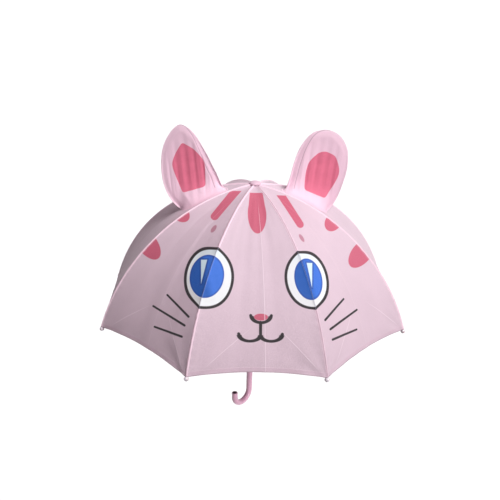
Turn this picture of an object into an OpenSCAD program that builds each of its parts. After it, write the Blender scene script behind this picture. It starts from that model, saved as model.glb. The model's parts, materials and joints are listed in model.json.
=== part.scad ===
// Children's stick umbrella with an animal face and two stand-up ears.
// +Z runs up the shaft, the face looks along -Y, and the origin is the middle of the straight hand grip.
// Rib k is hinged on the crown; a stretcher joins it to the runner, which slides on the shaft.

/* [Canopy] */
// Height of the rib pivots above the middle of the grip
crown_z = 480; // [476:1:484]
// Radius that a rib is bent to when the umbrella is open
rib_r = 403; // [400:1:406]
// Slope of a rib below level where it leaves the crown, in degrees
rib_top_angle = 6; // [5:0.5:7]
// Slope of a rib below level at its tip, in degrees
rib_tip_angle = 73; // [72:0.5:74]
// Thickness of a gore's solid
gore_t = 1.2; // [1.0:0.1:1.4]
// Gap between two gores along a rib
seam_gap = 0.4; // [0.3:0.1:0.6]
// Rise of the hem in the middle of a gore
hem_rise = 10; // [8:1:24]

/* [Frame] */
// Length along a rib from the crown pivot to the point where the rib bends when it folds
flex_at = 212; // [210:1:214]
// Width of a rib
rib_w = 2.8; // [2.8:0.1:3.0]
// Height of a rib
rib_h = 2.2; // [2.0:0.1:2.2]
// Diameter of the stretcher rods
stretcher_d = 2.4; // [2.2:0.1:2.6]
// Diameter of the shaft tube
shaft_d = 8; // [8:0.1:8.2]
// Wall of the shaft tube
shaft_wall = 0.7; // [0.6:0.1:0.8]
// Length of the runner's sleeve below its pivots
runner_l = 26; // [22:1:28]
// Diameter of the ball on a rib's tip
tip_d = 9.6; // [9.0:0.2:10.0]

/* [Handle] */
// Diameter of the handle
handle_d = 14; // [13:0.5:15]
// Top of the handle above the middle of the grip
handle_top = 36; // [32:1:38]
// Radius of the hook's middle line
hook_r = 25.5; // [24:0.5:28]
// Length of the hook's straight end beyond the bend
hook_end = 12; // [4:1:14]
// Direction in which the hook opens, in degrees from +X
hook_azimuth = 226; // [216:1:240]

/* [Ears] */
// Thickness of an ear
ear_t = 6; // [4:0.5:8]
// Height of an ear's tip above the rib pivots
ear_top = 124; // [116:1:130]

/* [Hidden] */
$fn = 64;
COUNT = 8;
HALF = 180 / COUNT;

pink = [0.93, 0.78, 0.86];
coral = [0.88, 0.47, 0.57];
steel = [0.80, 0.80, 0.82];
pale = [0.93, 0.92, 0.92];

// Radius of the ring of pivots on the crown and on the runner, and of the hubs that hold it
pivot_r = 7;
hub_r = 9;
hub_h = 5.6;
hub_below = 2.6;
sleeve_r = 7.4;
wire_r = 0.5;
eye_r = 1.3;
eye_t = 1.2;
slot_w = 1.6;
slot_in = 5.4;
slot_floor = 1.7;
pin_r = 0.6;
bracket_drop = 5;
bracket_back = 6;
// The straight part of the handle ends this far below the middle of the grip
grip_low = -42;
cap_r = 15;
cap_neck_r = 5.5;
shaft_r = shaft_d / 2;
bore_r = shaft_r + 0.2;
keyway_r = shaft_r + 2.3;

// Azimuth of rib k and of the middle of gore k, the face's front gore being gore 1
function rib_az(k) = -90 - HALF + (k - 1) * 2 * HALF;
function gore_az(k) = -90 + (k - 1) * 2 * HALF;

// A rib's middle line, as a function of its slope below level
arc_x0 = pivot_r - rib_r * sin(rib_top_angle);
arc_z0 = crown_z - rib_r * cos(rib_top_angle);
function arc_x(t, off = 0) = arc_x0 + (rib_r + off) * sin(t);
function arc_z(t, off = 0) = arc_z0 + (rib_r + off) * cos(t);
function turn(len) = len / rib_r * 180 / PI;
flex_t = rib_top_angle + turn(flex_at);
bracket_t = flex_t - turn(bracket_back);
stretch_x = arc_x(bracket_t, -bracket_drop);
stretch_z = arc_z(bracket_t, -bracket_drop);
runner_z = 2 * stretch_z - crown_z;
stretch_l = sqrt(pow(stretch_x - pivot_r, 2) + pow(stretch_z - runner_z, 2));
stretch_a = atan2(stretch_z - runner_z, stretch_x - pivot_r);

// The canopy's inner face clears the ribs by this much, measured from their middle line
cloth_off = 2.2;
// The cloth ends just short of the balls on the rib tips
hem_t = rib_tip_angle - turn(tip_d / 2 + 0.4);
hem_half = arc_x(hem_t) * sin(HALF);
hem_z = arc_z(hem_t);
hem_r = (hem_half * hem_half + hem_rise * hem_rise) / (2 * hem_rise);
function mid_x(t, off) = arc_x(t, off) * cos(HALF);
// Height of the cloth's outer face in the middle of a gore, at distance x from the shaft
function cloth_z(x) = arc_z0 + sqrt(pow(rib_r + cloth_off + gore_t, 2) - pow(x / cos(HALF) - arc_x0, 2));

catch_top_z = runner_z - runner_l - 2.2;
catch_low_z = 62;
catch_h = 9;

// A bar that follows the rib's arc from slope t0 to slope t1, w wide and h high, y to one side
module arc_bar(t0, t1, w, h, y = 0)
    translate([arc_x0, y, arc_z0]) rotate([90, 0, 0]) rotate([0, 0, 90 - t1])
        rotate_extrude(angle = t1 - t0, $fn = 180) translate([rib_r, 0]) square([h, w], center = true);

// A round lying across the rib at slope t, dropped by the given amount
module cross_pin(t, drop, r, w, y = 0)
    translate([arc_x(t, -drop), y, arc_z(t, -drop)]) rotate([90, 0, 0]) cylinder(r = r, h = w, center = true);

// The eight straight stretches of the wire that the ribs or stretchers turn on
module wire_ring(z)
    for (k = [1:COUNT]) rotate([0, 0, rib_az(k)]) translate([pivot_r, 0, z])
        rotate([90, 0, 0]) cylinder(r = wire_r, h = 5, center = true, $fn = 32);

module pivot_slots(z0, z1)
    for (k = [1:COUNT]) rotate([0, 0, rib_az(k)])
        translate([slot_in, -slot_w / 2, z0]) cube([10, slot_w, z1 - z0]);

module shaft_tube() color(steel) difference() {
    cylinder(r = shaft_r, h = crown_z + 7);
    translate([0, 0, -1]) cylinder(r = shaft_r - shaft_wall, h = crown_z + 9);
    for (z = [catch_top_z, catch_low_z])
        translate([0, -1.3, z - catch_h - 0.3]) cube([6, 2.6, catch_h + 0.6]);
}

module crown_notch() color(pale) difference() {
    translate([0, 0, crown_z - hub_below]) cylinder(r = hub_r, h = hub_h);
    translate([0, 0, crown_z - 4]) cylinder(r = shaft_r, h = 9);
    pivot_slots(crown_z - 4, crown_z + slot_floor);
    wire_ring(crown_z);
}

module crown_wire() color(steel) wire_ring(crown_z);

module top_cap() color(pink) difference() {
    union() {
        translate([0, 0, crown_z + 3]) cylinder(r = cap_neck_r, h = 2);
        intersection() {
            translate([0, 0, crown_z - 4.4]) sphere(r = cap_r, $fn = 96);
            translate([0, 0, crown_z + 4.6]) cylinder(r = cap_r, h = 10);
        }
    }
    translate([0, 0, crown_z + 2]) cylinder(r = shaft_r, h = 5);
}

module handle() color(pink) difference() {
    union() {
        translate([0, 0, grip_low]) cylinder(r = handle_d / 2, h = handle_top - grip_low);
        rotate([0, 0, hook_azimuth]) translate([hook_r, 0, grip_low]) {
            rotate([90, 0, 0]) rotate([0, 0, 180])
                rotate_extrude(angle = 180, $fn = 96) translate([hook_r, 0]) circle(r = handle_d / 2);
            translate([hook_r, 0, 0]) cylinder(r = handle_d / 2, h = hook_end);
        }
    }
    cylinder(r = shaft_r, h = handle_top + 1);
}

// A catch's nose stands out of the shaft; its spring leaf lies inside the tube
module catch(z) color(steel) rotate([90, 0, 0]) linear_extrude(2.2, center = true)
    polygon([[2.4, z - catch_h - 22], [3, z - catch_h - 22], [3, z - catch_h], [4.2, z - catch_h],
             [shaft_r + 1.8, z - 2], [shaft_r + 1.8, z], [2.4, z]]);

module runner() color(pale) difference() {
    union() {
        translate([0, 0, runner_z - hub_h + hub_below]) cylinder(r = hub_r, h = hub_h);
        translate([0, 0, runner_z - runner_l]) cylinder(r = sleeve_r, h = runner_l);
    }
    translate([0, 0, runner_z - runner_l - 1]) cylinder(r = bore_r, h = runner_l + 6);
    translate([0, -1.5, runner_z - runner_l - 1]) cube([keyway_r, 3, runner_l + 6]);
    pivot_slots(runner_z - slot_floor, runner_z + 4);
    wire_ring(runner_z);
}

module runner_wire() color(steel) wire_ring(runner_z);

module rib_inner(k) color(steel) rotate([0, 0, rib_az(k)]) difference() {
    union() {
        cross_pin(rib_top_angle, 0, eye_r, eye_t);
        arc_bar(rib_top_angle, rib_top_angle + turn(5.5), eye_t, 1.8);
        arc_bar(rib_top_angle + turn(5.2), flex_t - turn(3.4), rib_w, rib_h);
        arc_bar(flex_t - turn(3.6), flex_t, 1, 1.8);
        cross_pin(flex_t, 0, 1.6, 1);
        cross_pin(flex_t, 0, pin_r, rib_w);
        for (y = [-1, 1]) {
            cross_pin(bracket_t, bracket_drop, 1.7, 0.6, y * 1.1);
            translate([arc_x(bracket_t), y * 1.1, arc_z(bracket_t)]) rotate([0, bracket_t, 0])
                translate([0, 0, -bracket_drop / 2]) cube([3.4, 0.6, bracket_drop], center = true);
        }
        cross_pin(bracket_t, bracket_drop, pin_r, rib_w);
    }
    cross_pin(rib_top_angle, 0, wire_r + 0.05, 4);
}

module rib_outer(k) color(steel) rotate([0, 0, rib_az(k)]) difference() {
    union() {
        arc_bar(flex_t + turn(3.4), rib_tip_angle - turn(1), rib_w, rib_h);
        for (y = [-1, 1]) {
            cross_pin(flex_t, 0, 1.6, 0.7, y * 1.05);
            arc_bar(flex_t, flex_t + turn(3.6), 0.7, 1.8, y * 1.05);
        }
    }
    cross_pin(flex_t, 0, pin_r + 0.05, 4);
}

module rib_tip(k) color(pale) rotate([0, 0, rib_az(k)]) difference() {
    translate([arc_x(rib_tip_angle), 0, arc_z(rib_tip_angle)]) sphere(r = tip_d / 2);
    arc_bar(rib_tip_angle - turn(8), rib_tip_angle - turn(1), rib_w, rib_h);
}

module stretcher(k) color(steel)
    rotate([0, 0, rib_az(k)]) translate([pivot_r, 0, runner_z]) rotate([0, 90 - stretch_a, 0]) difference() {
        union() {
            rotate([90, 0, 0]) cylinder(r = eye_r, h = eye_t, center = true);
            translate([-0.9, -eye_t / 2, 0]) cube([1.8, eye_t, 7]);
            translate([0, 0, 5.5]) cylinder(d = stretcher_d, h = stretch_l - 15.5);
            translate([-0.9, -eye_t / 2, stretch_l - 11]) cube([1.8, eye_t, 11]);
            translate([0, 0, stretch_l]) rotate([90, 0, 0]) cylinder(r = 1.5, h = eye_t, center = true);
        }
        rotate([90, 0, 0]) cylinder(r = wire_r + 0.05, h = 4, center = true);
        translate([0, 0, stretch_l]) rotate([90, 0, 0]) cylinder(r = pin_r + 0.05, h = 4, center = true);
    }

// One band of a gore between two slopes: flat across, from rib to rib, and curved along the ribs
module gore_band(t0, t1, n) rotate([90, 0, 0]) linear_extrude(400, center = true) polygon(concat(
    [for (i = [0:n]) let (t = t0 + (t1 - t0) * i / n) [mid_x(t, cloth_off), arc_z(t, cloth_off)]],
    [for (i = [n:-1:0]) let (t = t0 + (t1 - t0) * i / n)
        [mid_x(t, cloth_off + gore_t), arc_z(t, cloth_off + gore_t)]]));

module gore_wedge() linear_extrude(2000, center = true)
    polygon([[seam_gap / 2 / sin(HALF), 0], [500, 500 * tan(HALF) - seam_gap / 2 / cos(HALF)],
             [500, seam_gap / 2 / cos(HALF) - 500 * tan(HALF)]]);

module gore_upper(k) color(pink) rotate([0, 0, gore_az(k)]) intersection() {
    gore_band(rib_top_angle + 0.6, flex_t, 10);
    gore_wedge();
}

module gore_lower(k) color(pink) rotate([0, 0, gore_az(k)]) difference() {
    intersection() {
        gore_band(flex_t + turn(0.4), hem_t, 12);
        gore_wedge();
    }
    translate([150, 0, hem_z + hem_rise - hem_r]) rotate([0, 90, 0]) cylinder(r = hem_r, h = 300, $fn = 360);
}

// An ear stands on the middle of a side gore, in the plane of the shaft
module ear() {
    base_in = 72;
    base_out = 184;
    color(coral) rotate([90, 0, 0]) linear_extrude(ear_t, center = true) polygon(concat(
        [for (i = [0:8]) let (x = base_in + (base_out - base_in) * i / 8) [x, cloth_z(x) + 0.5]],
        [for (p = [[194, -0.04], [198, 0.24], [199, 0.48], [194, 0.71], [178, 0.91], [160, 1],
                   [140, 0.96], [122, 0.84], [104, 0.65], [90, 0.39], [78, 0.10]])
            [p[0], crown_z + p[1] * ear_top]]));
}

module ear_left() rotate([0, 0, 180]) ear();
module ear_right() ear();

shaft_tube();
crown_notch();
crown_wire();
top_cap();
handle();
catch(catch_top_z);  // top_catch
catch(catch_low_z);  // bottom_catch
runner();
runner_wire();
ear_left();
ear_right();
for (k = [1:COUNT]) {
    rib_inner(k);
    rib_outer(k);
    rib_tip(k);
    stretcher(k);
    gore_upper(k);
    gore_lower(k);
}
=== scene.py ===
"""Looks of the children's umbrella: printed cloth canopy, stand-up ears, handle, tips and every material."""
import json
import math
import bmesh
import bpy
import numpy as np
from mathutils import Matrix, Vector


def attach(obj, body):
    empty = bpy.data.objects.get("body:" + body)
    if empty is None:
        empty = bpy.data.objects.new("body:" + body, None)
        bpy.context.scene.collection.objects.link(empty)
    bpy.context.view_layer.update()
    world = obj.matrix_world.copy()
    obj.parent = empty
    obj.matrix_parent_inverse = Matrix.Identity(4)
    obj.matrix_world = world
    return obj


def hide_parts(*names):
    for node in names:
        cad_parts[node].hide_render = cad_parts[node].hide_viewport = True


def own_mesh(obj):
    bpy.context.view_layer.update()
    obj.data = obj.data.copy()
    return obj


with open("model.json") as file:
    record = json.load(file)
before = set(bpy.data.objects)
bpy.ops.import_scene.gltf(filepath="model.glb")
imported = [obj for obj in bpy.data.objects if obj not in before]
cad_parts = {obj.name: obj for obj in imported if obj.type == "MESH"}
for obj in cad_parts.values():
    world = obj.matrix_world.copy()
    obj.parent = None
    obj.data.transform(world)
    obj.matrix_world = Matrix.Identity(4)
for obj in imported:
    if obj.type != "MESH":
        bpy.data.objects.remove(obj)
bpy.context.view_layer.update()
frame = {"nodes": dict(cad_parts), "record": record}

# ------------------------------------------------------------------ driving dimensions, in metres and degrees
CROWN_Z = 0.480         # height of the rib pivots
PIVOT_R = 0.007         # radius of the ring of pivots
RIB_R = 0.403           # radius that an open rib is bent to
TOP_A = 6.0             # slope of a rib at the crown
TIP_A = 73.0            # slope of a rib at its tip
FLEX_AT = 0.212         # length along a rib from the crown to the bend
HEM_RISE = 0.010        # rise of the hem in the middle of a gore
TIP_R = 0.0048          # radius of the ball on a rib's tip
CLOTH = 0.0026          # the cloth lies this far outside a rib's middle line
PLY = 0.0004            # thickness of the cloth
SAG = 0.0055            # the cloth lies this much lower between two ribs
HANDLE_R = 0.007        # radius of the handle's tube
HANDLE_TOP = 0.036
GRIP_LOW = -0.042       # where the handle's straight part ends
HOOK_R = 0.0255         # radius of the hook's middle line
HOOK_END = 0.012        # length of the straight end after the hook's half turn
HOOK_AZ = 226.0         # direction that the hook points in
FACE_LEAN = 25.0        # the printed face is drawn on a plane that leans back by this angle
START_A = 6.35          # slope of the cloth where the cap holds it down
TUCK_A = 1.4            # the lower band reaches this far up under the upper one, in degrees
TUCK_DEPTH = 0.0001     # the lower band lies this much lower where it is tucked under

HALF = math.radians(22.5)
ARC_X = PIVOT_R - RIB_R * math.sin(math.radians(TOP_A))
ARC_Z = CROWN_Z - RIB_R * math.cos(math.radians(TOP_A))
# a corner's place along the cloth in millimetres, counted from where the arc would be level
CORNER = 1000 * RIB_R * math.radians(TIP_A)
FLEX_A = TOP_A + math.degrees(FLEX_AT / RIB_R)
HEM_A = TIP_A - math.degrees((TIP_R - 0.0010) / RIB_R)
LEAN_C, LEAN_S = math.cos(math.radians(FACE_LEAN)), math.sin(math.radians(FACE_LEAN))


def rib_line(t, off=0.0):
    """Distance from the shaft and height of a rib's middle line where its slope is t degrees."""
    a = np.radians(t)
    return ARC_X + (RIB_R + off) * np.sin(a), ARC_Z + (RIB_R + off) * np.cos(a)


def gore_az(k):
    return -90 + 45 * (k - 1)


def rib_az(k):
    return gore_az(k) - 22.5


def smooth(x, a, b):
    x = np.clip((np.asarray(x, float) - a) / (b - a), 0.0, 1.0)
    return x * x * (3 - 2 * x)


# ------------------------------------------------------------------ shader nodes
class Net:
    """A material's node tree, built by small calls that take a number or a socket for each input."""

    def __init__(self, name):
        self.mat = bpy.data.materials.new(name)
        self.mat.use_nodes = True
        self.nodes, self.links = self.mat.node_tree.nodes, self.mat.node_tree.links
        self.nodes.clear()
        self.bsdf = self.nodes.new("ShaderNodeBsdfPrincipled")
        out = self.nodes.new("ShaderNodeOutputMaterial")
        self.links.new(self.bsdf.outputs[0], out.inputs["Surface"])

    def put(self, socket, value):
        if isinstance(value, bpy.types.NodeSocket):
            self.links.new(value, socket)
        elif value is not None:
            socket.default_value = (*value, 1.0) if socket.type == "RGBA" else value

    def m(self, op, a, b=None, clamp=False):
        n = self.nodes.new("ShaderNodeMath")
        n.operation, n.use_clamp = op, clamp
        self.put(n.inputs[0], a)
        self.put(n.inputs[1], b)
        return n.outputs[0]

    def add(self, a, b):
        return self.m("ADD", a, b)

    def sub(self, a, b):
        return self.m("SUBTRACT", a, b)

    def mul(self, a, b):
        return self.m("MULTIPLY", a, b)

    def least(self, *values):
        out = values[0]
        for v in values[1:]:
            out = self.m("MINIMUM", out, v)
        return out

    def most(self, *values):
        out = values[0]
        for v in values[1:]:
            out = self.m("MAXIMUM", out, v)
        return out

    def rounded(self, values, k):
        """The most of the values, with the corner between two of them rounded over k."""
        out = values[0]
        for v in values[1:]:
            out = self.m("SMOOTH_MAX", out, v)
            out.node.inputs[2].default_value = k
        return out

    def ramp(self, x, a, b, low=0.0, high=1.0, soft=False):
        """From low to high as x goes from a to b."""
        n = self.nodes.new("ShaderNodeMapRange")
        n.interpolation_type = "SMOOTHSTEP" if soft else "LINEAR"
        for i, v in enumerate((x, a, b, low, high)):
            self.put(n.inputs[i], v)
        return n.outputs[0]

    def above(self, x, at, soft):
        return self.ramp(x, at - soft / 2, at + soft / 2, soft=True)

    def below(self, x, at, soft):
        return self.ramp(x, at - soft / 2, at + soft / 2, 1.0, 0.0, soft=True)

    def line(self, x, at, half, soft=0.5):
        """1 within half of the place at, and 0 outside it."""
        return self.below(self.m("ABSOLUTE", self.sub(x, at)), half, soft)

    def measures(self, name):
        """The three numbers that a mesh's points carry under the given name, and last all three as one."""
        n = self.nodes.new("ShaderNodeAttribute")
        n.attribute_name = name
        s = self.nodes.new("ShaderNodeSeparateXYZ")
        self.links.new(n.outputs["Vector"], s.inputs[0])
        return (*s.outputs, n.outputs["Vector"])

    def place(self, *scale):
        """The place in the object's own metres, scaled along each axis if a scale is given."""
        n = self.nodes.new("ShaderNodeTexCoord")
        if not scale:
            return n.outputs["Object"]
        return self.stretch(n.outputs["Object"], *scale)

    def stretch(self, vector, *scale):
        n = self.nodes.new("ShaderNodeMapping")
        n.inputs["Scale"].default_value = scale
        self.links.new(vector, n.inputs["Vector"])
        return n.outputs[0]

    def noise(self, vector, scale, detail=2.0, rough=0.5):
        n = self.nodes.new("ShaderNodeTexNoise")
        for key, v in (("Vector", vector), ("Scale", scale), ("Detail", detail), ("Roughness", rough)):
            self.put(n.inputs[key], v)
        return n.outputs["Fac"]

    def mix(self, share, a, b):
        n = self.nodes.new("ShaderNodeMix")
        n.data_type = "RGBA"
        for i, v in ((0, share), (6, a), (7, b)):
            self.put(n.inputs[i], v)
        return n.outputs[2]

    def bump(self, height, strength, distance):
        n = self.nodes.new("ShaderNodeBump")
        for key, v in (("Strength", strength), ("Distance", distance), ("Height", height)):
            self.put(n.inputs[key], v)
        return n.outputs[0]

    def finish(self, colour, rough, normal=None, **more):
        sockets = {"Base Color": colour, "Roughness": rough, "Normal": normal}
        sockets.update({key.replace("_", " "): v for key, v in more.items()})
        for key, v in sockets.items():
            if v is not None:
                self.put(self.bsdf.inputs[key], v)
        return self.mat

    # Shapes of the print: each call gives the distance outside the shape, below 0 inside it
    def oval(self, x, y, centre, half, tilt=0.0, kink=None):
        """An ellipse of the given half-sizes, its top leaning towards -x by tilt degrees. kink is added to
        its radius, as a share of it."""
        c, s = math.cos(math.radians(tilt)), math.sin(math.radians(tilt))
        dx, dy = self.sub(x, centre[0]), self.sub(y, centre[1])
        u = self.mul(self.add(self.mul(dx, c), self.mul(dy, s)), 1 / half[0])
        v = self.mul(self.sub(self.mul(dy, c), self.mul(dx, s)), 1 / half[1])
        r = self.m("SQRT", self.add(self.mul(u, u), self.mul(v, v)))
        if kink is not None:
            r = self.add(r, kink)
        return self.mul(self.sub(r, 1.0), min(half))

    def stroke(self, x, y, start, end, r0, r1=None):
        """A straight stroke with round ends of radius r0 and r1."""
        dx, dy = end[0] - start[0], end[1] - start[1]
        px, py = self.sub(x, start[0]), self.sub(y, start[1])
        along = self.add(self.mul(px, dx / (dx * dx + dy * dy)), self.mul(py, dy / (dx * dx + dy * dy)))
        along = self.m("ADD", along, 0.0, clamp=True)
        ex, ey = self.sub(px, self.mul(along, dx)), self.sub(py, self.mul(along, dy))
        d = self.m("SQRT", self.add(self.mul(ex, ex), self.mul(ey, ey)))
        return self.sub(d, self.ramp(along, 0.0, 1.0, r0, r0 if r1 is None else r1))

    def cup(self, x, y, centre, half, r):
        """The lower half of an ellipse's line, such as one side of a mouth."""
        ring = self.sub(self.m("ABSOLUTE", self.oval(x, y, centre, half)), r)
        return self.most(ring, self.sub(y, centre[1]))

    def patch(self, x, y, corners, k):
        """A convex patch with the given corners, taken clockwise and rounded over k."""
        sides = []
        for p, q in zip(corners, corners[1:] + corners[:1]):
            dx, dy = q[0] - p[0], q[1] - p[1]
            size = math.hypot(dx, dy)
            side = self.sub(self.mul(y, dx / size), self.mul(x, dy / size))
            sides.append(self.sub(side, (p[1] * dx - p[0] * dy) / size))
        return self.rounded(sides, k)


# ------------------------------------------------------------------ cloth
PINK = (0.765, 0.588, 0.676)
THREADS = (0.90, 0.72, 0.82)        # threads of the weave that stand out
INSIDE = (0.74, 0.57, 0.65)
# painted highlight that a rolled seam catches
SEAM_HIGHLIGHT = (1.0, 0.75, 0.86)
NEEDLE_LINE = (0.55, 0.30, 0.42)
# painted highlight along the creases
CREASE_HIGHLIGHT = (0.97, 0.80, 0.89)
SEWING_THREAD = (0.93, 0.74, 0.84)
TURNED_UP = (0.66, 0.42, 0.54)
# painted shade at the hem's edge
HEM_EDGE_SHADE = (0.38, 0.25, 0.31)
CORAL = (0.66, 0.140, 0.220)
DULL_CORAL = (0.50, 0.17, 0.25)     # the two small dots
INK = (0.035, 0.028, 0.032)
WHITE = (0.93, 0.94, 0.96)
SHADED_WHITE = (0.80, 0.88, 0.94)   # the upper part of an eye
BLUE_LEFT, BLUE_RIGHT = (0.020, 0.120, 0.50), (0.050, 0.190, 0.74)
BLUE_RIM, BLUE_SHADE = (0.020, 0.070, 0.36), (0.014, 0.065, 0.32)
HIGHLIGHT = (0.72, 0.88, 0.95)
NEEDLE_ON_EYE = (0.55, 0.60, 0.80)

WEAVE_PITCH = 0.55      # between two threads, in millimetres, as are all the sizes of seams and print below
STITCH_PITCH = 2.6
SEAM_WIDE = 3.1         # width of the painted highlight along a gore's seam
NEEDLE_AT = 3.8         # the needle line lies this far in from the seam
STITCH_AT = 4.8         # and this far the row of stitches that shows beside it
HEM_WIDE = 9.6          # depth of the turned-up hem
HEM_ROWS = (8.5, 1.6)   # its two rows of stitches, up from its edge
HEM_DARK = 1.5          # depth of the painted shade along its edge

# The printed face: millimetres on the leaning plane, x to the right and y up, found by matching the model to
# the photograph and rounded. A stripe has two ends, their radii and the height at which it is cut off; a spot,
# a centre, half-sizes and a tilt; a whisker, two ends.
STRIPES = [((-35, 428), (-85.5, 360), 9.8, 8.6, 419), ((47, 424), (89.5, 345.5), 9.0, 8.4, 410),
           ((1, 433), (1, 364), 11.5, 19.0, 414)]
SPOTS = [((-161, 370.5), (17, 27), 47), ((-228, 304.5), (21, 43), 41), ((166.5, 356), (17, 27), -42),
         ((225.5, 289.5), (21, 42), -47), ((1, 364), (19, 41), 0), ((6.5, 160), (13.5, 6.5), 0)]
DOTS = [((-87, 332.5), (4.2, 9.0), -33), ((90.5, 315.5), (4.0, 9.0), 30)]
WHISKERS = [((131, 155), (174.5, 194)), ((142, 137), (204.5, 172)), ((146.5, 117), (202.5, 133)),
            ((-132, 159), (-177, 198.5)), ((-139.5, 142), (-206, 175.5)), ((-144.5, 120.5), (-201.5, 135))]
# each eye: centre, half-sizes, tilt, iris's centre, half-sizes and tilt, and the highlight's top and tip
EYES = [((-94.7, 234.6), (49.3, 63.0), -5, (-98.5, 237), (33.7, 42.0), -9, ((-104.5, 269), (-109, 222))),
        ((97.5, 232.5), (45.5, 59.5), 10, (100, 233.5), (28.7, 40.5), 9, ((103, 265), (105, 217)))]
EYE_LINE = (5.5, 5.8)   # width of the dark line at an eye's sides, and at its top and bottom
EYE_SHIFT = (0.3, 0.2)  # the white lies this far towards the nose and down from the middle of the dark oval
KINK = 0.30             # how much a seam kinks an eye's outline
KINK_REACH = 55.0       # and how far from the seam it does
IRIS_LEAN = 0.25        # lean of the line that parts an iris's two blues
SHINE_HALF = 6.2        # half-width of the highlight at its top
MOUTH_AT = (5.8, 129.0)
MOUTH_R = 3.0           # half the thickness of the mouth's line


def coral_print(net, base, x, y):
    """Lays the coral stripes, spots and nose over the cloth's colour."""
    fleck = net.ramp(net.noise(net.measures("cloth")[3], 0.9, 2.0, 0.6), 0.3, 0.7)
    coral = net.mix(fleck, CORAL, tuple(c * 0.93 for c in CORAL))
    marks = [net.oval(x, y, *spot) for spot in SPOTS]
    marks += [net.most(net.stroke(x, y, *s), net.sub(y, top)) for *s, top in STRIPES]
    base = net.mix(net.below(net.least(*marks), 0.0, 1.0), base, coral)
    dots = net.least(*[net.oval(x, y, *dot) for dot in DOTS])
    return net.mix(net.mul(net.below(dots, 0.0, 1.4), 0.8), base, DULL_CORAL)


def iris_blue(net, x, y, iris, iris_at, top, tip):
    """An iris's two blues with its darker rim, and the highlight that narrows from its top to its tip."""
    side = net.add(net.sub(x, iris_at[0]), net.mul(net.sub(y, iris_at[1]), IRIS_LEAN))
    blue = net.mix(net.above(side, 0.0, 18.0), BLUE_LEFT, BLUE_RIGHT)
    blue = net.mix(net.mul(net.above(iris, -2.6, 2.0), 0.55), blue, BLUE_RIM)
    fall = net.ramp(y, tip[1], top[1], 0.0, SHINE_HALF)
    middle = net.ramp(y, tip[1], top[1], tip[0], top[0])
    shine = net.sub(net.m("ABSOLUTE", net.sub(x, middle)), fall)
    shine = net.most(shine, net.sub(y, top[1]), net.sub(tip[1], y))
    blue = net.mix(net.mul(net.below(shine, 3.0, 2.0), 0.6), blue, BLUE_SHADE)
    return net.mix(net.below(shine, 0.0, 1.2), blue, HIGHLIGHT)


def mouth_lines(net, x, y):
    """The line under the nose, the line down from it and the two sides of the mouth with their short ends."""
    mx, my = MOUTH_AT
    lines = [net.cup(x, y, (mx + 0.8, my + 32.8), (18.2, 12.2), MOUTH_R - 0.2),
             net.stroke(x, y, (mx, my + 21), (mx, my - 3), MOUTH_R)]
    for side in (-1, 1):
        corner = (mx + 0.8 + side * 19.8, my + 33.8)
        end = (mx + side * 41.6, my - 1.0)
        lines.append(net.stroke(x, y, corner, (corner[0] - side * 1.6, my + 31.0), MOUTH_R - 0.1))
        lines.append(net.cup(x, y, (mx + side * 20.3, my - 3.0), (20.3, 11.5), MOUTH_R - 0.3))
        lines.append(net.stroke(x, y, end, (mx + side * 40.4, my - 3.6), MOUTH_R))
    return lines


def ink_print(net, base, x, y, edge):
    """Lays the eyes, the mouth and the whiskers over the cloth and its seams, which kink an eye's outline."""
    beside = net.m("MINIMUM", net.mul(edge, 1 / KINK_REACH), 1.0)
    far = net.sub(1.0, beside)
    kink = net.mul(net.mul(beside, net.mul(far, far)), KINK)
    needle = net.line(edge, 0.9, 0.5, 0.8)
    for centre, half, tilt, iris_at, iris_half, iris_tilt, (top, tip) in EYES:
        ball = net.oval(x, y, centre, half, tilt, kink)
        inner = (centre[0] - math.copysign(EYE_SHIFT[0], centre[0]), centre[1] - EYE_SHIFT[1])
        white = net.oval(x, y, inner, (half[0] - EYE_LINE[0], half[1] - EYE_LINE[1]), tilt, kink)
        iris = net.oval(x, y, iris_at, iris_half, iris_tilt)
        eye = net.mix(net.ramp(y, centre[1] + 20, centre[1] + 55), WHITE, SHADED_WHITE)
        eye = net.mix(net.below(iris, 0.0, 1.0), eye, iris_blue(net, x, y, iris, iris_at, top, tip))
        eye = net.mix(net.above(white, 0.0, 1.0), eye, INK)
        eye = net.mix(net.mul(needle, 0.22), eye, NEEDLE_ON_EYE)
        base = net.mix(net.below(ball, 0.0, 1.0), base, eye)
    lines = mouth_lines(net, x, y) + [net.stroke(x, y, p, q, 2.3, 2.0) for p, q in WHISKERS]
    return net.mix(net.below(net.least(*lines), 0.0, 0.9), base, INK)


def weave(net, along, across):
    """Height of a plain weave."""
    a = net.m("SINE", net.mul(along, 2 * math.pi / WEAVE_PITCH))
    b = net.m("SINE", net.mul(across, 2 * math.pi / WEAVE_PITCH))
    return net.mul(a, b)


def stitches(net, along):
    """1 on each stitch of a row and 0 between two stitches."""
    return net.above(net.m("SINE", net.mul(along, 2 * math.pi / STITCH_PITCH)), 0.0, 0.5)


def dyed(net, at):
    """The cloth's own pink, with the slow cloudiness and the fine threads of the real one."""
    base = net.mix(net.ramp(net.noise(at, 0.012, 3.0, 0.55), 0.3, 0.7), PINK, tuple(c * 0.95 for c in PINK))
    threads = net.noise(net.stretch(at, 0.05, 1.6, 1.0), 1.0, 2.0, 0.5)
    return net.mix(net.mul(net.above(threads, 0.55, 0.3), 0.12), base, THREADS)


def woven(net, base, along, across, at, raised):
    """Finishes a cloth of the given colour: its weave and crumpling, what is raised on it, and its sheen."""
    height = net.add(net.mul(weave(net, along, across), 0.10), net.mul(net.noise(at, 0.06, 4.0, 0.6), 0.9))
    for part in raised:
        height = net.add(height, part)
    rough = net.ramp(net.noise(at, 0.9, 2.0, 0.6), 0.25, 0.75, 0.50, 0.62)
    return net.finish(base, rough, net.bump(height, 0.55, 0.0009),
                      Sheen_Weight=0.06, Sheen_Roughness=0.5, Specular_IOR_Level=0.35)


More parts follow.
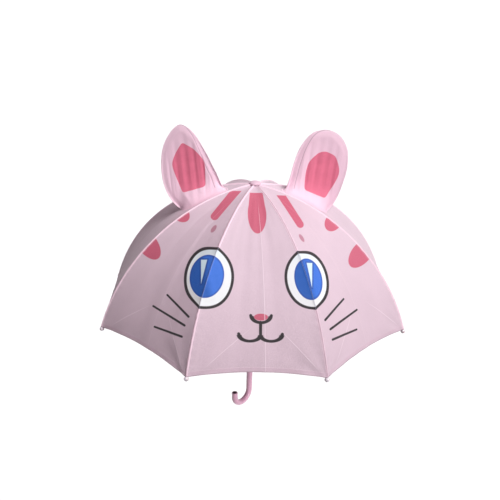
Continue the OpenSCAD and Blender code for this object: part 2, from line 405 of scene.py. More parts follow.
def creases_of(net, along, across, edge, share, fold_at, fold_seen):
    """The creases that the stretched cloth keeps: one down its middle and one out of each corner."""
    down = net.sub(CORNER, along)
    right, left = net.above(across, 0.0, 2.0), net.below(across, 0.0, 2.0)
    corner_1 = net.mul(net.line(net.sub(edge, net.mul(down, 0.80)), 1.0, 0.9, 1.8), right)
    corner_2 = net.mul(net.line(net.sub(edge, net.mul(down, 0.97)), 11.6, 0.9, 1.8), left)
    ends = net.mul(net.above(down, 26.0, 24.0), net.below(down, 88.0, 40.0))
    corner = net.mul(net.most(corner_1, corner_2), ends)
    middle = net.mul(net.line(share, fold_at, 0.007, 0.012), net.above(along, 130.0, 60.0))
    return net.most(corner, net.mul(net.mul(middle, fold_seen), 0.8))


def gore_cloth(name, printed, inside):
    """Cloth of a gore. The mesh carries cloth = (along, across, in from the seam), face = (x, y, up from
    the hem) and fold = (share across, share at which the middle fold lies, how far it shows)."""
    net = Net(name)
    along, across, edge, at = net.measures("cloth")
    x, y, hem, _ = net.measures("face")
    share, fold_at, fold_seen, _ = net.measures("fold")
    base = dyed(net, at)
    if printed:
        base = coral_print(net, base, x, y)
    # the rolled seam's painted highlight, with its needle line beside it; the hem is turned up and sewn twice
    base = net.mix(net.mul(net.below(edge, SEAM_WIDE, 0.9), 0.9), base, SEAM_HIGHLIGHT)
    base = net.mix(net.mul(net.line(edge, NEEDLE_AT, 0.45), 0.22), base, NEEDLE_LINE)
    crease = creases_of(net, along, across, edge, share, fold_at, fold_seen)
    # the creases are painted lighter, as their highlights, over their bump
    base = net.mix(net.mul(crease, 0.75), base, CREASE_HIGHLIGHT)
    hem_rows = net.most(*[net.line(hem, row, 0.45) for row in HEM_ROWS])
    seam_row = net.mul(net.line(edge, STITCH_AT, 0.4), stitches(net, along))
    thread = net.most(net.mul(hem_rows, stitches(net, across)), seam_row)
    base = net.mix(net.mul(thread, 0.75), base, SEWING_THREAD)
    turned_up = net.below(hem, HEM_WIDE, 0.8)
    base = net.mix(net.mul(turned_up, 0.20), base, TURNED_UP)
    # painted shade darkens the hem's very edge
    base = net.mix(net.mul(net.below(hem, HEM_DARK, 0.6), 0.70), base, HEM_EDGE_SHADE)
    if printed:
        base = ink_print(net, base, x, y, edge)
    if inside:
        base = net.mix(0.55, base, INSIDE)
    sewn = net.add(net.mul(thread, 0.30), net.mul(turned_up, 0.35))
    return woven(net, base, along, across, at, [sewn, net.mul(crease, 0.60)])


# coral panels on the ears: millimetres out from the shaft and up from the crown, clockwise, matched and rounded
PANELS = {
    "left": [(174, 64), (180, 42), (173, 17), (157, -20), (107, -4), (109, 50), (131, 77), (157, 91)],
    "right": [(135, 75), (147, 78), (170, 68), (180, 46), (182, 28), (174, 6), (154, -27), (107, -8),
              (108, 34), (116, 57)],
}
PANEL_CORNER = 9.0      # radius that the panels' corners are rounded over
# the ears' cloth is painted lighter and pinker than the canopy's, for the light that comes through it
EAR_LIT_PINK = (1.0, 0.68, 0.82)
PANEL_CORALS = (0.84, 0.20, 0.31), (0.76, 0.17, 0.27)
# the seam up an ear's inner side: its stitched line, with painted shade where the front folds over it
EAR_SEAM_AND_SHADE = (0.40, 0.22, 0.31)
RIM_WIDE, RIM_STITCH_AT = 3.0, 4.2      # width of the painted highlight along the rim, and its row of stitches


def ear_cloth(name, side):
    """Cloth of an ear. The mesh carries cloth = (along the rim, out from the inner seam, in from the rim) and
    face = (out, up, front)."""
    net = Net(name)
    along, seam, edge, _ = net.measures("cloth")
    out, up, front, at = net.measures("face")
    # painted light: the ear's cloth is made lighter and pinker for the light that comes through its two layers
    base = net.mix(0.75, dyed(net, at), EAR_LIT_PINK)
    panel = net.patch(out, up, PANELS[side], PANEL_CORNER)
    coral = net.mix(net.ramp(net.noise(at, 0.03, 3.0, 0.6), 0.3, 0.7), *PANEL_CORALS)
    base = net.mix(net.mul(net.below(panel, 0.0, 1.0), net.above(front, 0.5, 0.2)), base, coral)
    # painted highlight along the rolled seam of the rim
    base = net.mix(net.mul(net.below(edge, RIM_WIDE, 0.8), 0.6), base, SEAM_HIGHLIGHT)
    # the seam's line up the inner side, darkened with painted shade of the fold over it
    base = net.mix(net.mul(net.line(seam, 0.0, 1.0, 1.6), 0.55), base, EAR_SEAM_AND_SHADE)
    thread = net.mul(net.line(edge, RIM_STITCH_AT, 0.4), stitches(net, along))
    base = net.mix(net.mul(thread, 0.75), base, SEWING_THREAD)
    return woven(net, base, out, up, at, [net.mul(thread, 0.30)])


# ------------------------------------------------------------------ meshes
def piece(name, verts, faces, mats, face_mats=None, measures=None, sharp=40.0):
    """A smooth object whose edges above sharp degrees stay sharp. Its points carry the measures by name."""
    me = bpy.data.meshes.new(name)
    me.from_pydata([tuple(v) for v in verts], [], faces)
    for mat in mats:
        me.materials.append(mat)
    if face_mats is not None:
        me.polygons.foreach_set("material_index", face_mats)
    for key, values in (measures or {}).items():
        layer = me.attributes.new(key, "FLOAT_VECTOR", "POINT")
        layer.data.foreach_set("vector", np.asarray(values, np.float32).ravel())
    bm = bmesh.new()
    bm.from_mesh(me)
    bmesh.ops.recalc_face_normals(bm, faces=bm.faces)
    bm.to_mesh(me)
    bm.free()
    me.polygons.foreach_set("use_smooth", [True] * len(me.polygons))
    me.set_sharp_from_angle(angle=math.radians(sharp))
    ob = bpy.data.objects.new(name, me)
    bpy.context.collection.objects.link(ob)
    return ob


def slab(rows, cols):
    """Faces of a closed thin slab: two grids of rows by cols points, the second one lying under the first."""
    size = rows * cols
    top = [(i * cols + j, i * cols + j + 1, (i + 1) * cols + j + 1, (i + 1) * cols + j)
           for i in range(rows - 1) for j in range(cols - 1)]
    under = [tuple(size + v for v in reversed(f)) for f in top]
    ring = [*range(cols),
            *[i * cols + cols - 1 for i in range(1, rows)],
            *[(rows - 1) * cols + j for j in range(cols - 2, -1, -1)],
            *[i * cols for i in range(rows - 2, 0, -1)]]
    rim = [(b, a, a + size, b + size) for a, b in zip(ring, ring[1:] + ring[:1])]
    return top, under, rim


SEAM_COLUMNS = (0.0, 0.0008, 0.0016, 0.0024, 0.0034, 0.0050, 0.0075)    # places in from the seam
TURNED_UNDER = (0.0050, 0.0006)     # places in from the seam of the allowance that is turned under
MIDDLE = 34             # steps across the middle of a gore
NARROW = 0.020          # where a gore is narrower than this, its seam columns draw together
FLAP_DEPTH = 0.0013     # the turned-under allowance lies this much lower
FAR_IN = 0.05           # place in from the seam that stands for nowhere near it
FLAP_EDGE = 9.0         # the cloth's third measure on the allowance: clear of the seam's bands
LONG_FOLD, FINE_FOLD = 0.0004, 0.0002       # heights of the shallow folds down a gore
PACKED_FOLD = 0.0006    # height of the fold that packing leaves down its middle
CORNER_PULL = 0.0007    # height of the short pulls that fan out of each rib tip
SEAM_RIDGE = 0.0010     # height of the seam's rolled ridge
PUCKER = 0.00035        # height of the puckers beside it
PUCKER_PITCH = 0.017    # between two of them


def fold_place(k):
    """Share across gore k at which its middle fold lies: on the column of points nearest to it."""
    return round(0.12 * math.cos(1.7 * (k - 1)) * MIDDLE / 2) * 2 / MIDDLE


def gore_shape(k, t, v, edge):
    """Points of gore k at slope t and share v across, as out, across and up in the gore's own frame."""
    reach, height = rib_line(t, CLOTH)
    u = (t - TOP_A) / (TIP_A - TOP_A)
    turn = 1.7 * k
    h = -SAG * np.sin(np.pi * np.clip(0.10 + 0.90 * u, 0, 1)) ** 0.8 * (1 - v * v)
    wave = LONG_FOLD * np.sin(2 * np.pi * (1.5 * v + 0.12 * np.sin(3 * u + turn)) + turn)
    wave += FINE_FOLD * np.sin(2 * np.pi * (3.5 * v + 0.2 * u) + 2.3 * turn)
    h = h + wave * (1 - v * v) * smooth(u, 0.02, 0.3)
    h = h + PACKED_FOLD * np.exp(-np.abs(v - fold_place(k)) / 0.03) * smooth(u, 0.18, 0.4)
    down = RIB_R * np.radians(TIP_A - t)
    for side in (-1, 1):
        beside = reach * math.sin(HALF) * (1 - side * v)
        angle = np.arctan2(beside, down + 0.004)
        fade = np.exp(-((np.hypot(beside, down) - 0.030) / 0.055) ** 2)
        h = h + CORNER_PULL * np.sin(9 * angle + turn + side) * fade * smooth(beside, 0, 0.012)
    h = h + SEAM_RIDGE * np.exp(-(edge / 0.0019) ** 2)
    pucker = np.sin(2 * np.pi * RIB_R * np.radians(t) / PUCKER_PITCH + turn) * np.exp(-(edge / 0.010) ** 2)
    h = h + PUCKER * pucker * smooth(edge, 0.0, 0.003)
    a = np.radians(t)
    out = reach * math.cos(HALF) + np.sin(a) * h
    return np.stack([out, reach * math.sin(HALF) * v, height + np.cos(a) * h], -1)


def hem_slope(v):
    """Slope of the cloth at its hem, at share v across: the hem rises between two rib tips."""
    rise = math.degrees(HEM_RISE / (RIB_R * math.sin(math.radians(HEM_A))))
    return HEM_A - rise * (1 - v * v)


def columns():
    """Columns across a gore. At half-width w a column lies at a * w + b * min(1, w / NARROW)."""
    beside = [*TURNED_UNDER, *SEAM_COLUMNS]
    steps = [-1 + 2 * i / MIDDLE for i in range(1, MIDDLE)]
    a = [-1.0] * len(beside) + steps + [1.0] * len(beside)
    b = beside + [-SEAM_COLUMNS[-1] * m for m in steps] + [-d for d in reversed(beside)]
    flap = np.zeros(len(a), bool)
    flap[:len(TURNED_UNDER)] = flap[-len(TURNED_UNDER):] = True
    return np.array(a), np.array(b), flap


def face_place(points):
    """Millimetres across and up the leaning plane that the face is printed on."""
    return points[..., 0] * 1000, (points[..., 2] * LEAN_C + points[..., 1] * LEAN_S) * 1000


def turned(points, azimuth):
    """Points of a gore's own frame in the object's frame."""
    a = math.radians(azimuth)
    return points @ np.array([[math.cos(a), math.sin(a), 0], [-math.sin(a), math.cos(a), 0], [0, 0, 1]])


def gore_sheet(name, k, rows, slope, mats):
    """A band of gore k as a closed thin sheet. slope(u, v) is the cloth's slope at share u of the band's
    length and share v across."""
    a, b, flap = columns()
    u = np.linspace(0, 1, rows)[:, None]
    t = slope(u, np.zeros_like(a))
    for _ in range(4):
        half = rib_line(t, CLOTH)[0] * math.sin(HALF)
        y = a * half + b * np.minimum(1.0, half / NARROW)
        v = y / half
        t = slope(u, v)
    edge = np.where(flap, FAR_IN, half - np.abs(y))
    inset = np.where(flap, FLAP_DEPTH, 0.0)
    if t[0, 0] > START_A:
        inset = inset + TUCK_DEPTH * (1 - smooth(t, FLEX_A, FLEX_A + 2.0))
    ply = np.where(flap, -PLY, PLY)
    places = []
    normal = np.stack([np.sin(np.radians(t)), np.zeros_like(t), np.cos(np.radians(t))], -1)
    surface = gore_shape(k, t, v, edge)
    for depth in (inset, inset + ply):
        places.append(turned(surface - normal * depth[..., None], gore_az(k)).reshape(-1, 3))
    x, up = face_place(places[0])
    hem = (hem_slope(v) - t) * math.radians(1) * RIB_R * 1000
    from_seam = np.where(flap, FLAP_EDGE, edge * 1000)
    cloth = np.stack([RIB_R * np.radians(t) * 1000, y * 1000, from_seam], -1).reshape(-1, 3)
    face = np.stack([x, up, hem.ravel()], -1)
    seen = 1.0 if k == 1 else 0.25
    fold = np.stack([v, np.full(v.shape, fold_place(k)), np.full(v.shape, seen)], -1).reshape(-1, 3)
    measures = {"cloth": cloth, "face": face, "fold": fold}
    both = {key: np.tile(values, (2, 1)) for key, values in measures.items()}
    top, under, rim = slab(rows, len(a))
    kinds = [0] * len(top) + [1] * len(under) + [0] * len(rim)
    return piece(name, np.concatenate(places), top + under + rim, mats, kinds, both)


# ------------------------------------------------------------------ canopy
plain = [gore_cloth("canopy_plain", False, False), gore_cloth("canopy_plain_inside", False, True)]
printed = [gore_cloth("canopy_printed", True, False), gore_cloth("canopy_printed_inside", True, True)]


def upper_slope(u, v):
    return START_A + (FLEX_A - START_A) * u + 0 * v


def lower_slope(u, v):
    start = FLEX_A - TUCK_A
    return start + (hem_slope(v) - start) * u


# each band: the joint that folds it, the half of the rib under it, its rows of points, its slope, and the
# width, length and area of the cloth that it is cut from
BANDS = {
    "upper": ("fold", "rib_inner", 42, upper_slope, (0.162, 0.208), 0.0176),
    "lower": ("bend", "rib_outer", 66, lower_slope, (0.282, 0.266), 0.0565),
}
PRINTED_GORES = (8, 1, 2)

for k in range(1, 9):
    mats = printed if k in PRINTED_GORES else plain
    for part, (joint, rib, rows, slope, cut, area) in BANDS.items():
        sheet = gore_sheet(f"canopy_{part}_{k}", k, rows, slope, mats)
        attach(sheet, f"gore_{part}_{k}")
        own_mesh(sheet)
        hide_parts(f"gore_{part}_{k}")

# ------------------------------------------------------------------ ears
# outline of each ear above the gore, from its inner to its outer foot: millimetres out from the shaft and up
# from the crown, matched and rounded in the same way
EAR_OUTLINES = {
    "left": [(69, -8), (76, 4), (84, 24), (94, 44), (108, 72), (133, 112), (158, 129), (176, 119), (192, 94),
             (200, 68), (202, 38), (200, 12), (195, -10), (186, -30), (175, -46)],
    "right": [(68, -9), (72, 1), (77, 24), (83, 52), (95, 86), (116, 114), (138, 123), (160, 121), (180, 108),
              (194, 84), (198, 56), (196, 30), (189, 0), (182, -22), (172, -43)],
}
EAR_FOOT = (14.0, 31.5)  # slopes of the gore at an ear's inner and outer foot
EAR_ENDS = 0.008         # share of an ear's rim that is left out at each foot
EAR_ROWS, FLARE_STEPS, EAR_STEPS = 90, 10, 34
FLARE = 0.032            # width of the flare at an ear's foot
FLARE_TALL = 0.10        # an ear taller than this above its foot has the whole flare
EAR_LIFT = 0.0002        # an ear's foot lies this far above the gore
EAR_HALF = 0.0028        # half the thickness of an ear where it is puffed most
PUFF_IN = 0.014          # it is reached this far in from the rim
EAR_CUP = 0.005          # hollow of an ear's front
EAR_FOLD = 0.0024        # height of the folds that run up an ear
FOLD_PITCH = 0.0185      # between two of them
EAR_BAND = 0.014         # width of the band outside the seam that runs up an ear's inner side
BAND_TURN = 0.30         # slope that the band turns back by
EAR_RIDGE = 0.0011       # height of the ridge along that seam
RIM_BEAD = 0.0011        # height of the bead that the rim's seam makes


def smooth_curve(points, shares):
    """A smooth curve through the points, at the given shares of its length."""
    p = np.array(points, float)
    p = np.concatenate([[2 * p[0] - p[1]], p, [2 * p[-1] - p[-2]]])
    s = np.linspace(0, 1, 40, endpoint=False)[:, None]
    run = [0.5 * (2 * b + (c - a) * s + (2 * a - 5 * b + 4 * c - d) * s ** 2
                  + (3 * b - a - 3 * c + d) * s ** 3)
           for a, b, c, d in zip(p, p[1:], p[2:], p[3:])]
    run = np.concatenate([*run, p[-2:-1]])
    at = np.concatenate([[0], np.cumsum(np.linalg.norm(np.diff(run, axis=0), axis=1))])
    return np.stack([np.interp(shares * at[-1], at, run[:, i]) for i in range(p.shape[1])], -1), at[-1]


def creases(x):
    """Soft hills with sharp valleys between them, one for each unit of x."""
    return np.abs(np.sin(np.pi * x)) ** 0.8 - 0.6


def ear_sheet(name, side):
    """An ear as a closed two-layer form that flares out of the side gore. Places are out, front and up."""
    k, hand = (3, 1) if side == "right" else (7, -1)
    q = np.linspace(EAR_ENDS, 1 - EAR_ENDS, EAR_ROWS)[:, None]
    foot_t = EAR_FOOT[0] + (EAR_FOOT[1] - EAR_FOOT[0]) * q

    def ground(front):
        """The gore's surface beside the ear's foot, as out and up."""
        half = rib_line(foot_t, CLOTH)[0] * math.sin(HALF)
        v = np.clip(-hand * front / half, -1, 1)
        surface = gore_shape(k, foot_t + 0 * front, v, FAR_IN + 0 * front)
        return surface[..., [0, 2]] + np.array([0, EAR_LIFT])

    foot = ground(0 * q)
    inner_foot, outer_foot = [tuple(foot[i, 0] * 1000 - np.array([0, CROWN_Z * 1000])) for i in (0, -1)]
    outline, length = smooth_curve([inner_foot, *EAR_OUTLINES[side], outer_foot], q[:, 0])
    rim = outline[:, None, :] / 1000 + np.array([0, CROWN_Z])
    tall = np.linalg.norm(rim - foot, axis=-1)
    half = rib_line(foot_t, CLOTH)[0] * math.sin(HALF)
    spread = np.minimum(FLARE * np.clip(tall / FLARE_TALL, 0, 1) ** 0.5, 0.6 * half)
    turn = np.linspace(0, math.pi / 2, FLARE_STEPS + 1)[:-1]
    flare_top = np.minimum(1.6 * spread, 0.5 * tall)
    above = flare_top + (tall - flare_top) * np.linspace(0, 1, EAR_STEPS + 1)
    height = np.concatenate([flare_top * (1 - np.cos(turn)), above], 1)
    flare = np.concatenate([spread * (1 - np.sin(turn)), 0 * above], 1)
    rise = height / tall
    line = foot + (rim - foot) * rise[..., None]
    from_rim = np.sqrt(((line[:, :, None, :] - rim[None, None, :, 0, :]) ** 2).sum(-1)).min(-1)
    from_rim = np.where(rise > 0.999, 0.0, from_rim)
    belly = np.sin(np.pi * q) ** 0.7 * np.sin(np.pi * rise ** 0.9)
    puff = EAR_HALF * smooth(from_rim, 0.0, PUFF_IN)
    bead = RIM_BEAD * np.exp(-((from_rim - 0.0014) / 0.0012) ** 2)
    band = EAR_BAND * smooth(q, 0.0, 0.12) * (1 - smooth(q, 0.30, 0.46))
    seam = band - from_rim
    inner_side = (1 - smooth(q, 0.36, 0.5)) * smooth(rise, 0.1, 0.3)
    lean = (line[..., 0] - 0.10 * (line[..., 1] - CROWN_Z)) / FOLD_PITCH
    folds = EAR_FOLD * (creases(lean + 0.15) + 0.35 * creases(2.3 * lean + 0.4)) * belly
    folds = folds * smooth(from_rim, 0.004, 0.02)
    turn_back = BAND_TURN * np.maximum(seam, 0.0) * inner_side
    turn_back = turn_back + EAR_RIDGE * np.exp(-(seam / 0.0016) ** 2) * inner_side
    layers = []
    for sign in (1, -1):
        thick = np.where(from_rim > 0, puff + bead, 0.0)
        front = sign * (thick + flare) - EAR_CUP * belly + folds - turn_back
        base = (ground(front) - foot) * ((1 - rise) ** 8)[..., None]
        layers.append(np.stack([line[..., 0] + base[..., 0], front, line[..., 1] + base[..., 1]], -1))
    cols = height.shape[1]
    grid = np.concatenate([layers[0], layers[1][:, -2::-1]], 1)
    mirror = list(range(cols)) + list(range(cols - 2, -1, -1))
    from_seam = np.where(inner_side > 0.05, seam, -FAR_IN)
    cloth = np.stack([0 * height + length * q, 1000 * from_seam, 1000 * from_rim], -1)[:, mirror]
    is_front = np.array([1.0] * cols + [0.0] * (cols - 1))
    face = np.stack([1000 * line[..., 0], 1000 * (line[..., 1] - CROWN_Z), 0 * height], -1)[:, mirror]
    face[..., 2] = is_front
    wide = grid.shape[1]
    faces = [(i * wide + j, (i + 1) * wide + j, (i + 1) * wide + (j + 1) % wide, i * wide + (j + 1) % wide)
             for i in range(EAR_ROWS - 1) for j in range(wide)]
    faces += [tuple(range(wide)), tuple(reversed(range((EAR_ROWS - 1) * wide, EAR_ROWS * wide)))]
    verts = grid * np.array([hand, -1, 1])
    if hand > 0:
        faces = [tuple(reversed(f)) for f in faces]
    return piece(name, verts.reshape(-1, 3), faces, [ear_cloth(name + "_cloth", side)], None,
                 {"cloth": cloth.reshape(-1, 3), "face": face.reshape(-1, 3)}, sharp=70.0)


for side, k in (("left", 7), ("right", 3)):
    ear = ear_sheet(f"fabric_ear_{side}", side)
    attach(ear, f"gore_upper_{k}")
    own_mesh(ear)
    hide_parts(f"ear_{side}")


# ------------------------------------------------------------------ plastics and metals
def moulded(name, colour, rough=0.22, coat=0.4, subsurface=0.0):
    """Moulded plastic: faint cloudiness, hairline scuffs and a fine orange-peel surface."""
    net = Net(name)
    at = net.place()
    cloud = net.ramp(net.noise(at, 38.0, 3.0, 0.6), 0.3, 0.7)
    base = net.mix(cloud, colour, tuple(c * 0.93 for c in colour))
    scuff = net.above(net.noise(net.place(300.0, 300.0, 40.0), 2.0, 4.0, 0.7), 0.66, 0.08)
    base = net.mix(net.mul(scuff, 0.18), base, tuple(min(1.0, c * 1.12) for c in colour))
    uneven = net.ramp(net.noise(at, 260.0, 3.0, 0.6), 0.3, 0.7, rough, rough + 0.10)
    shine = net.add(uneven, net.mul(scuff, 0.14))
    peel = net.add(net.noise(at, 900.0, 2.0, 0.5), net.mul(net.noise(at, 120.0, 2.0, 0.5), 0.6))
    return net.finish(base, shine, net.bump(peel, 0.35, 0.0002), Coat_Weight=coat, Coat_Roughness=0.12,
                      Subsurface_Weight=subsurface,
                      Subsurface_Radius=(0.004, 0.0025, 0.002) if subsurface else None)


RUST = (0.36, 0.31, 0.27)


def metal(name, colour, rough, streak=(60.0, 60.0, 900.0)):
    """Plated steel with drawing lines along the part and a slightly uneven shine."""
    net = Net(name)
    lines = net.noise(net.place(*streak), 1.0, 3.0, 0.6)
    cloud = net.noise(net.place(), 90.0, 3.0, 0.6)
    base = net.mix(net.ramp(cloud, 0.3, 0.75), colour, tuple(c * 0.82 for c in colour))
    base = net.mix(net.mul(net.above(cloud, 0.68, 0.1), 0.25), base, RUST)
    shine = net.ramp(net.add(net.mul(lines, 0.6), net.mul(cloud, 0.4)), 0.3, 0.7, rough, rough + 0.16)
    return net.finish(base, shine, net.bump(lines, 0.12, 0.0001), Metallic=1.0)


pink_plastic = moulded("pink_plastic", (0.95, 0.52, 0.70), subsurface=0.10)
cap_plastic = moulded("cap_plastic", (0.84, 0.58, 0.70), rough=0.45, coat=0.05)
# painted shade for the dark recess in the handle's dished end
end_shade = moulded("handle_end_shadow", (0.24, 0.12, 0.17), rough=0.55, coat=0.0)
tip_plastic = moulded("tip_plastic", (0.88, 0.76, 0.82), rough=0.18, subsurface=0.25)

FINISHES = {
    "shaft_steel": metal("shaft_steel", (0.60, 0.60, 0.62), 0.22, (300.0, 300.0, 12.0)),
    "rib_steel": metal("rib_steel", (0.70, 0.70, 0.72), 0.26, (180.0, 180.0, 180.0)),
    "wire_steel": metal("wire_steel", (0.62, 0.62, 0.64), 0.30),
    "spring_steel": metal("spring_steel", (0.58, 0.60, 0.64), 0.24, (400.0, 400.0, 30.0)),
    "white_plastic": moulded("white_plastic", (0.82, 0.80, 0.81), rough=0.34, coat=0.1),
    "pink_plastic": pink_plastic,
    "tip_plastic": tip_plastic,
}
for part in frame["record"]["subparts"]:
    finish = FINISHES.get(part["material_slot"])
    if finish is not None:
        node = frame["nodes"][part["node"]]
        node.data.materials.clear()
        node.data.materials.append(finish)


# ------------------------------------------------------------------ handle, cap and tips
def ring_form(name, rings, mats, sides=48, ridge=0.0, kinds=None):
    """A round form through rings, each given as its centre, two crossing directions and its radius. A ridge
    of the given height, such as a mould's parting line, runs along the widest rings on both sides in the
    first direction. kinds gives the material of each step from one ring to the next."""
    angle = np.linspace(0, 2 * math.pi, sides, endpoint=False)
    widest = max(r for *_, r in rings)
    verts = []
    for centre, u, v, r in rings:
        reach = np.full(sides, r)
        if r > 0.98 * widest:
            reach[[0, sides // 2]] += ridge
        around = np.cos(angle)[:, None] * np.array(u) + np.sin(angle)[:, None] * np.array(v)
        verts.append(np.array(centre) + reach[:, None] * around)
    n = len(rings)
    steps = [(i, j, (j + 1) % sides) for i in range(n - 1) for j in range(sides)]
    faces = [(i * sides + j, i * sides + q, (i + 1) * sides + q, (i + 1) * sides + j) for i, j, q in steps]
    marks = [0 if kinds is None else kinds[i] for i in range(n - 1) for _ in range(sides)]
    faces += [tuple(reversed(range(sides))), tuple(range((n - 1) * sides, n * sides))]
    marks += [marks[0], marks[-1]]
    return piece(name, np.concatenate(verts), faces, mats, marks, sharp=50.0)


def make_handle():
    """The hooked handle: a straight grip, a half turn and a short straight end with a shallow dished face."""
    az = math.radians(HOOK_AZ)
    out = np.array([math.cos(az), math.sin(az), 0.0])
    side = np.array([-math.sin(az), math.cos(az), 0.0])
    up = np.array([0.0, 0.0, 1.0])
    rings = []

    def ring(x, z, heading, r):
        lean = out * math.cos(heading) - up * math.sin(heading)
        rings.append((out * x + up * z, lean, side, r))

    down = math.pi
    # the ends are rounded: each ring lies so far below the end and is so much less in radius
    for below, less in ((0.0, 0.0018), (0.0, 0.0010), (0.0003, 0.0004), (0.0009, 0.0001), (0.0018, 0.0)):
        ring(0.0, HANDLE_TOP - below, down, HANDLE_R - less)
    for z in np.linspace(HANDLE_TOP - 0.0018, GRIP_LOW, 12)[1:-1]:
        ring(0.0, z, down, HANDLE_R)
    for phi in np.linspace(math.pi, 2 * math.pi, 49):
        ring(HOOK_R + HOOK_R * math.cos(phi), GRIP_LOW + HOOK_R * math.sin(phi),
             math.atan2(-math.sin(phi), math.cos(phi)), HANDLE_R)
    tip = GRIP_LOW + HOOK_END
    for below, less in ((0.006, 0.0), (0.0018, 0.0), (0.0009, 0.0001), (0.0003, 0.0004), (0.0, 0.0010),
                        (0.0, 0.0019), (0.0004, 0.0022), (0.0022, 0.0024)):
        ring(2 * HOOK_R, tip - below, 0.0, HANDLE_R - less)
    # the dished end takes the painted shade of its recess
    kinds = [0] * (len(rings) - 3) + [1, 1]
    return ring_form("hooked_handle", rings, [pink_plastic, end_shade], ridge=0.00012, kinds=kinds)


def make_cap():
    """The low domed cap that holds the cloth down on the crown, with a lip that turns down round its edge."""
    cap_r, lip, dome_low, dome_high = 0.0123, 0.0026, 0.0040, 0.0048
    profile = [(0.0045, 0.0046), (0.0100, 0.0046), (0.0108, dome_low), (0.0112, lip), (0.0119, lip),
               (cap_r, 0.0030), (cap_r, dome_low)]
    dome = np.linspace(0.08, 1.50, 16)
    profile += [(cap_r * math.cos(a), dome_low + dome_high * math.sin(a)) for a in dome]
    x, y = (1.0, 0.0, 0.0), (0.0, 1.0, 0.0)
    return ring_form("domed_top_cap", [((0.0, 0.0, CROWN_Z + z), x, y, r) for r, z in profile], [cap_plastic])


def make_tip(k):
    """The ball on the tip of rib k, with the collar that the rib and the corner of the cloth go into."""
    a, az = math.radians(TIP_A), math.radians(rib_az(k))
    reach, height = rib_line(TIP_A)
    out = np.array([math.cos(az), math.sin(az), 0.0])
    up = np.array([0.0, 0.0, 1.0])
    along = out * math.cos(a) - up * math.sin(a)
    across = out * math.sin(a) + up * math.cos(a)
    side = np.cross(along, across)
    profile = [(-0.0105, 0.0019), (-0.0103, 0.0023), (-0.0098, 0.0025), (-0.0062, 0.0027), (-0.0050, 0.0029)]
    profile += [(-TIP_R * math.cos(b), TIP_R * math.sin(b)) for b in np.linspace(0.72, 2.86, 18)]
    profile += [(0.0047, 0.0009), (0.0043, 0.0006)]
    rings = [(out * reach + up * height + along * s, across, side, r) for s, r in profile]
    return ring_form(f"ball_tip_{k}", rings, [tip_plastic], sides=32, ridge=0.00008)


forms = [(make_handle(), "stick", "handle", "pink_plastic"), (make_cap(), "stick", "top_cap", "pink_plastic")]
forms += [(make_tip(k), f"rib_outer_{k}", f"rib_tip_{k}", "tip_plastic") for k in range(1, 9)]
for form, body, node, slot in forms:
    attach(form, body)
    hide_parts(node)


# ------------------------------------------------------------------ stage, lights and camera
FLOOR_Z = -2.2
FLOOR_HALF = 60.0
ROOM_PINK = (1.0, 0.86, 0.915, 1.0)
ROOM_WHITE = (1.0, 1.0, 1.0, 1.0)
ROOM_LOW, ROOM_HIGH = 0.07, 0.225       # strength of the room's light from below and from above
CAMERA_AT, CAMERA_TO, CAMERA_ROLL = Vector((-0.0655, -1.4652, 0.9506)), Vector((-0.0071, 0.0, 0.3264)), 1.6
SENSOR, LENS = 36.0, 50.96


def link(name, data):
    """A new object in the scene with the given mesh, light or camera."""
    ob = bpy.data.objects.new(name, data)
    bpy.context.collection.objects.link(ob)
    return ob


def floor_material():
    net = Net("pale_floor")
    cloud = net.ramp(net.noise(net.place(), 1.5, 3.0, 0.5), 0.3, 0.7)
    colour = net.mix(cloud, (0.93, 0.93, 0.93), (0.91, 0.91, 0.915))
    return net.finish(colour, 0.85, Specular_IOR_Level=0.1,
                      Emission_Color=(1.0, 1.0, 1.0), Emission_Strength=0.12)


def make_floor():
    """A pale floor, so far down that the object's shadow on it is not seen. No diffuse light comes off it."""
    mesh = bpy.data.meshes.new("floor")
    corners = [(-1, -1), (1, -1), (1, 1), (-1, 1)]
    mesh.from_pydata([(x * FLOOR_HALF, y * FLOOR_HALF, FLOOR_Z) for x, y in corners], [], [(0, 1, 2, 3)])
    mesh.materials.append(floor_material())
    floor = link("floor", mesh)
    floor.visible_diffuse = False


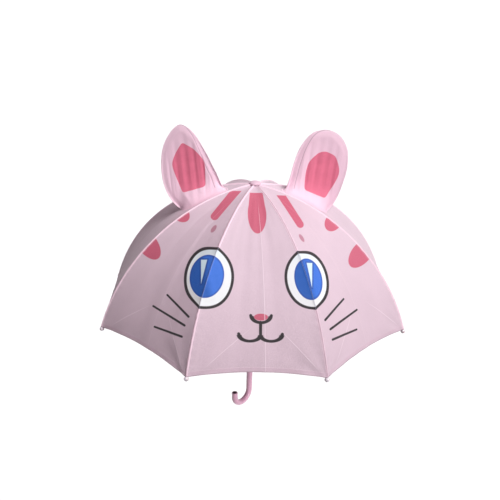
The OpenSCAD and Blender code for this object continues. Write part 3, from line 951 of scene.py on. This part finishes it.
def make_room():
    """The room's light is weak, a little pink and stronger from above; its walls look white."""
    world = bpy.data.worlds.new("studio")
    bpy.context.scene.world = world
    world.use_nodes = True
    nodes, links = world.node_tree.nodes, world.node_tree.links
    nodes.clear()
    ray, room = nodes.new("ShaderNodeLightPath"), nodes.new("ShaderNodeMixShader")
    light, wall = nodes.new("ShaderNodeBackground"), nodes.new("ShaderNodeBackground")
    towards, height = nodes.new("ShaderNodeTexCoord"), nodes.new("ShaderNodeSeparateXYZ")
    sky = nodes.new("ShaderNodeMapRange")
    for slot, value in (("From Min", -0.5), ("From Max", 0.7), ("To Min", ROOM_LOW), ("To Max", ROOM_HIGH)):
        sky.inputs[slot].default_value = value
    light.inputs["Color"].default_value = ROOM_PINK
    wall.inputs["Color"].default_value = ROOM_WHITE
    wall.inputs["Strength"].default_value = 1.0
    links.new(towards.outputs["Generated"], height.inputs[0])
    links.new(height.outputs["Z"], sky.inputs["Value"])
    links.new(sky.outputs[0], light.inputs["Strength"])
    links.new(ray.outputs["Is Camera Ray"], room.inputs[0])
    links.new(light.outputs[0], room.inputs[1])
    links.new(wall.outputs[0], room.inputs[2])
    links.new(room.outputs[0], nodes.new("ShaderNodeOutputWorld").inputs["Surface"])


def aimed_light(name, kind, strength, towards):
    """A new light that shines in the given direction."""
    light = link(name, bpy.data.lights.new(name, kind))
    light.data.energy = strength
    light.rotation_euler = towards.to_track_quat("-Z", "Y").to_euler()
    return light


def sun(name, at, strength, spread):
    """A distant soft light that shines from the given place towards the middle of the object."""
    aimed_light(name, "SUN", strength, -Vector(at)).data.angle = math.radians(spread)


def lamp(name, at, to, watts, spread):
    """A narrow soft lamp for one part."""
    light = aimed_light(name, "SPOT", watts, Vector(to) - Vector(at))
    light.location = at
    light.data.spot_size = math.radians(spread)
    light.data.spot_blend = 0.7
    light.data.shadow_soft_size = 0.08


def make_camera():
    """The camera at the photograph's viewing angle, rolled a little as the umbrella in it is."""
    camera = link("camera", bpy.data.cameras.new("camera"))
    camera.data.sensor_width, camera.data.lens = SENSOR, LENS
    ahead = (CAMERA_TO - CAMERA_AT).normalized()
    right = ahead.cross(Vector((0, 0, 1))).normalized()
    above = right.cross(ahead)
    roll = math.radians(CAMERA_ROLL)
    c, s = math.cos(roll), math.sin(roll)
    axes = (right * c + above * s, above * c - right * s, -ahead)
    camera.matrix_world = Matrix.Translation(CAMERA_AT) @ Matrix(axes).transposed().to_4x4()
    bpy.context.scene.camera = camera


make_floor()
make_room()
sun("key", (0.50, -0.46, 0.90), 2.95, 36)
sun("front", (0.10, -1.00, 0.10), 0.25, 50)
sun("back", (0.45, 0.85, 0.45), 0.75, 60)
lamp("handle_lamp", (1.1, -1.2, -0.10), (-0.015, 0.0, -0.03), 55.0, 10)
lamp("left_ear_lamp", (-0.30, -1.8, 0.45), (-0.135, 0.0, 0.545), 17.0, 9)
lamp("right_ear_lamp", (0.30, -1.8, 0.45), (0.135, 0.0, 0.545), 36.0, 9)
make_camera()
bpy.context.scene.view_settings.view_transform = "Standard"
